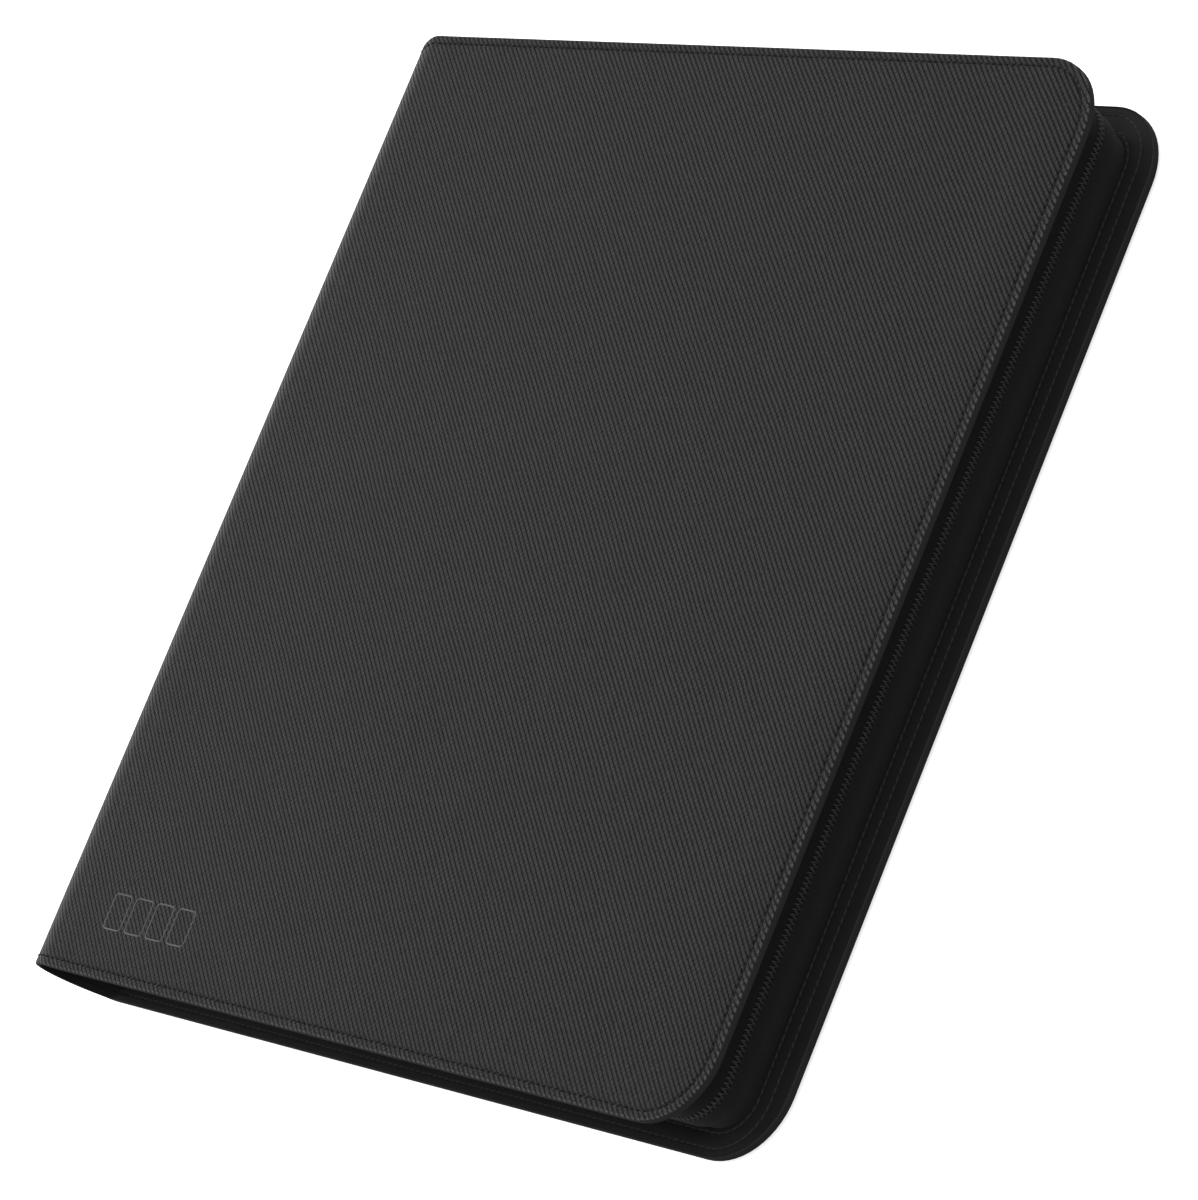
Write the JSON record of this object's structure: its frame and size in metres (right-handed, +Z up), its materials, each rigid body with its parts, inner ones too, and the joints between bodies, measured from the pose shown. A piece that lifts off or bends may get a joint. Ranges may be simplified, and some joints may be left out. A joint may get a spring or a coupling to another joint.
{
  "type": "trading card binder",
  "caption": "Zip-around trading card binder with soft rounded spine, stiff textured covers and side-loading clear pocket pages, lying closed on its back cover.",
  "frame": {"origin": "middle of the footprint at the surface the back cover rests on", "axes": "+Z up through the closed thickness, +Y from tail to head along the spine, +X from the spine to the fore-edge"},
  "size_m": [0.346, 0.355, 0.036],
  "materials": {
    "outer_skin": "matte embossed twill imitation leather",
    "inner_lining": "smooth black lining",
    "board": "grey board",
    "zip_tape": "black woven tape",
    "zip_coil": "black nylon coil",
    "slider_metal": "black painted die casting",
    "page_sheet": "black page sheet",
    "pocket_film": "clear glossy film",
    "binding": "black woven strip"
  },
  "bodies": {
    "back_cover": {"back_cover_skin": "outer_skin", "back_cover_board": "board", "back_cover_lining": "inner_lining", "back_zipper_tape": "zip_tape", "back_zipper_coil": "zip_coil", "zipper_stops": "zip_coil"},
    "spine_lower": {"spine_skin_1": "outer_skin", "spine_lining_1": "inner_lining"},
    "spine_middle": {"spine_skin_2": "outer_skin", "spine_lining_2": "inner_lining", "page_binding": "binding"},
    "spine_upper": {"spine_skin_3": "outer_skin", "spine_lining_3": "inner_lining"},
    "front_cover": {"front_cover_skin": "outer_skin", "front_cover_board": "board", "front_cover_lining": "inner_lining", "front_zipper_tape": "zip_tape", "front_zipper_coil": "zip_coil"},
    "slider": {"slider_body": "slider_metal"},
    "pull": {"pull_tab": "slider_metal"},
    "page_01": {"page_core_01": "page_sheet", "pocket_film_01": "pocket_film"},
    "page_02": {"page_core_02": "page_sheet", "pocket_film_02": "pocket_film"},
    "page_03": {"page_core_03": "page_sheet", "pocket_film_03": "pocket_film"},
    "page_04": {"page_core_04": "page_sheet", "pocket_film_04": "pocket_film"},
    "page_05": {"page_core_05": "page_sheet", "pocket_film_05": "pocket_film"},
    "page_06": {"page_core_06": "page_sheet", "pocket_film_06": "pocket_film"},
    "page_07": {"page_core_07": "page_sheet", "pocket_film_07": "pocket_film"},
    "page_08": {"page_core_08": "page_sheet", "pocket_film_08": "pocket_film"},
    "page_09": {"page_core_09": "page_sheet", "pocket_film_09": "pocket_film"},
    "page_10": {"page_core_10": "page_sheet", "pocket_film_10": "pocket_film"},
    "page_11": {"page_core_11": "page_sheet", "pocket_film_11": "pocket_film"},
    "page_12": {"page_core_12": "page_sheet", "pocket_film_12": "pocket_film"},
    "page_13": {"page_core_13": "page_sheet", "pocket_film_13": "pocket_film"},
    "page_14": {"page_core_14": "page_sheet", "pocket_film_14": "pocket_film"},
    "page_15": {"page_core_15": "page_sheet", "pocket_film_15": "pocket_film"},
    "page_16": {"page_core_16": "page_sheet", "pocket_film_16": "pocket_film"},
    "page_17": {"page_core_17": "page_sheet", "pocket_film_17": "pocket_film"},
    "page_18": {"page_core_18": "page_sheet", "pocket_film_18": "pocket_film"},
    "page_19": {"page_core_19": "page_sheet", "pocket_film_19": "pocket_film"},
    "page_20": {"page_core_20": "page_sheet", "pocket_film_20": "pocket_film"}
  },
  "joints": [
    {"name": "spine_fold_lower", "type": "hinge", "parent": "back_cover", "child": "spine_lower", "pos_m": [-0.155, 0, 0], "axis": [0, -1, 0], "range_deg": [0, 30]},
    {"name": "spine_fold_middle", "type": "hinge", "parent": "spine_lower", "child": "spine_middle", "pos_m": [-0.17059, 0, 0.009], "axis": [0, -1, 0], "range_deg": [0, 60]},
    {"name": "spine_fold_upper", "type": "hinge", "parent": "spine_middle", "child": "spine_upper", "pos_m": [-0.17059, 0, 0.027], "axis": [0, -1, 0], "range_deg": [0, 60]},
    {"name": "front_cover_hinge", "type": "hinge", "parent": "spine_upper", "child": "front_cover", "pos_m": [-0.155, 0, 0.036], "axis": [0, -1, 0], "range_deg": [0, 30]},
    {"name": "page_turn_01", "type": "hinge", "parent": "spine_middle", "child": "page_01", "pos_m": [-0.16068, 0, 0.00413], "axis": [0, -1, 0], "range_deg": [-85.5, 0]},
    {"name": "page_turn_02", "type": "hinge", "parent": "spine_middle", "child": "page_02", "pos_m": [-0.16068, 0, 0.00559], "axis": [0, -1, 0], "range_deg": [-76.5, 0]},
    {"name": "page_turn_03", "type": "hinge", "parent": "spine_middle", "child": "page_03", "pos_m": [-0.16068, 0, 0.00705], "axis": [0, -1, 0], "range_deg": [-67.5, 0]},
    {"name": "page_turn_04", "type": "hinge", "parent": "spine_middle", "child": "page_04", "pos_m": [-0.16068, 0, 0.00851], "axis": [0, -1, 0], "range_deg": [-58.5, 0]},
    {"name": "page_turn_05", "type": "hinge", "parent": "spine_middle", "child": "page_05", "pos_m": [-0.16068, 0, 0.00997], "axis": [0, -1, 0], "range_deg": [-49.5, 0]},
    {"name": "page_turn_06", "type": "hinge", "parent": "spine_middle", "child": "page_06", "pos_m": [-0.16068, 0, 0.01143], "axis": [0, -1, 0], "range_deg": [-40.5, 0]},
    {"name": "page_turn_07", "type": "hinge", "parent": "spine_middle", "child": "page_07", "pos_m": [-0.16068, 0, 0.01289], "axis": [0, -1, 0], "range_deg": [-31.5, 0]},
    {"name": "page_turn_08", "type": "hinge", "parent": "spine_middle", "child": "page_08", "pos_m": [-0.16068, 0, 0.01435], "axis": [0, -1, 0], "range_deg": [-22.5, 0]},
    {"name": "page_turn_09", "type": "hinge", "parent": "spine_middle", "child": "page_09", "pos_m": [-0.16068, 0, 0.01581], "axis": [0, -1, 0], "range_deg": [-13.5, 0]},
    {"name": "page_turn_10", "type": "hinge", "parent": "spine_middle", "child": "page_10", "pos_m": [-0.16068, 0, 0.01727], "axis": [0, -1, 0], "range_deg": [-4.5, 0]},
    {"name": "page_turn_11", "type": "hinge", "parent": "spine_middle", "child": "page_11", "pos_m": [-0.16068, 0, 0.01873], "axis": [0, -1, 0], "range_deg": [0, 4.5]},
    {"name": "page_turn_12", "type": "hinge", "parent": "spine_middle", "child": "page_12", "pos_m": [-0.16068, 0, 0.02019], "axis": [0, -1, 0], "range_deg": [0, 13.5]},
    {"name": "page_turn_13", "type": "hinge", "parent": "spine_middle", "child": "page_13", "pos_m": [-0.16068, 0, 0.02165], "axis": [0, -1, 0], "range_deg": [0, 22.5]},
    {"name": "page_turn_14", "type": "hinge", "parent": "spine_middle", "child": "page_14", "pos_m": [-0.16068, 0, 0.02311], "axis": [0, -1, 0], "range_deg": [0, 31.5]},
    {"name": "page_turn_15", "type": "hinge", "parent": "spine_middle", "child": "page_15", "pos_m": [-0.16068, 0, 0.02457], "axis": [0, -1, 0], "range_deg": [0, 40.5]},
    {"name": "page_turn_16", "type": "hinge", "parent": "spine_middle", "child": "page_16", "pos_m": [-0.16068, 0, 0.02603], "axis": [0, -1, 0], "range_deg": [0, 49.5]},
    {"name": "page_turn_17", "type": "hinge", "parent": "spine_middle", "child": "page_17", "pos_m": [-0.16068, 0, 0.02749], "axis": [0, -1, 0], "range_deg": [0, 58.5]},
    {"name": "page_turn_18", "type": "hinge", "parent": "spine_middle", "child": "page_18", "pos_m": [-0.16068, 0, 0.02895], "axis": [0, -1, 0], "range_deg": [0, 67.5]},
    {"name": "page_turn_19", "type": "hinge", "parent": "spine_middle", "child": "page_19", "pos_m": [-0.16068, 0, 0.03041], "axis": [0, -1, 0], "range_deg": [0, 76.5]},
    {"name": "page_turn_20", "type": "hinge", "parent": "spine_middle", "child": "page_20", "pos_m": [-0.16068, 0, 0.03187], "axis": [0, -1, 0], "range_deg": [0, 85.5]},
    {"name": "slider_travel", "type": "slide", "parent": "back_cover", "child": "slider", "axis": [1, 0, 0], "range_m": [0, 0.2734]},
    {"name": "pull_swing", "type": "hinge", "parent": "slider", "child": "pull", "pos_m": [-0.1424, 0.1735, 0.018], "axis": [0, 0, 1], "range_deg": [0, 160]}
  ],
  "couplings": [
    {"joint": "spine_fold_middle", "follows": "spine_fold_lower", "ratio": 2},
    {"joint": "spine_fold_upper", "follows": "spine_fold_lower", "ratio": 2},
    {"joint": "front_cover_hinge", "follows": "spine_fold_lower", "ratio": 1},
    {"joint": "page_turn_01", "follows": "spine_fold_lower", "ratio": -2.85},
    {"joint": "page_turn_02", "follows": "spine_fold_lower", "ratio": -2.55},
    {"joint": "page_turn_03", "follows": "spine_fold_lower", "ratio": -2.25},
    {"joint": "page_turn_04", "follows": "spine_fold_lower", "ratio": -1.95},
    {"joint": "page_turn_05", "follows": "spine_fold_lower", "ratio": -1.65},
    {"joint": "page_turn_06", "follows": "spine_fold_lower", "ratio": -1.35},
    {"joint": "page_turn_07", "follows": "spine_fold_lower", "ratio": -1.05},
    {"joint": "page_turn_08", "follows": "spine_fold_lower", "ratio": -0.75},
    {"joint": "page_turn_09", "follows": "spine_fold_lower", "ratio": -0.45},
    {"joint": "page_turn_10", "follows": "spine_fold_lower", "ratio": -0.15},
    {"joint": "page_turn_11", "follows": "spine_fold_lower", "ratio": 0.15},
    {"joint": "page_turn_12", "follows": "spine_fold_lower", "ratio": 0.45},
    {"joint": "page_turn_13", "follows": "spine_fold_lower", "ratio": 0.75},
    {"joint": "page_turn_14", "follows": "spine_fold_lower", "ratio": 1.05},
    {"joint": "page_turn_15", "follows": "spine_fold_lower", "ratio": 1.35},
    {"joint": "page_turn_16", "follows": "spine_fold_lower", "ratio": 1.65},
    {"joint": "page_turn_17", "follows": "spine_fold_lower", "ratio": 1.95},
    {"joint": "page_turn_18", "follows": "spine_fold_lower", "ratio": 2.25},
    {"joint": "page_turn_19", "follows": "spine_fold_lower", "ratio": 2.55},
    {"joint": "page_turn_20", "follows": "spine_fold_lower", "ratio": 2.85}
  ]
}
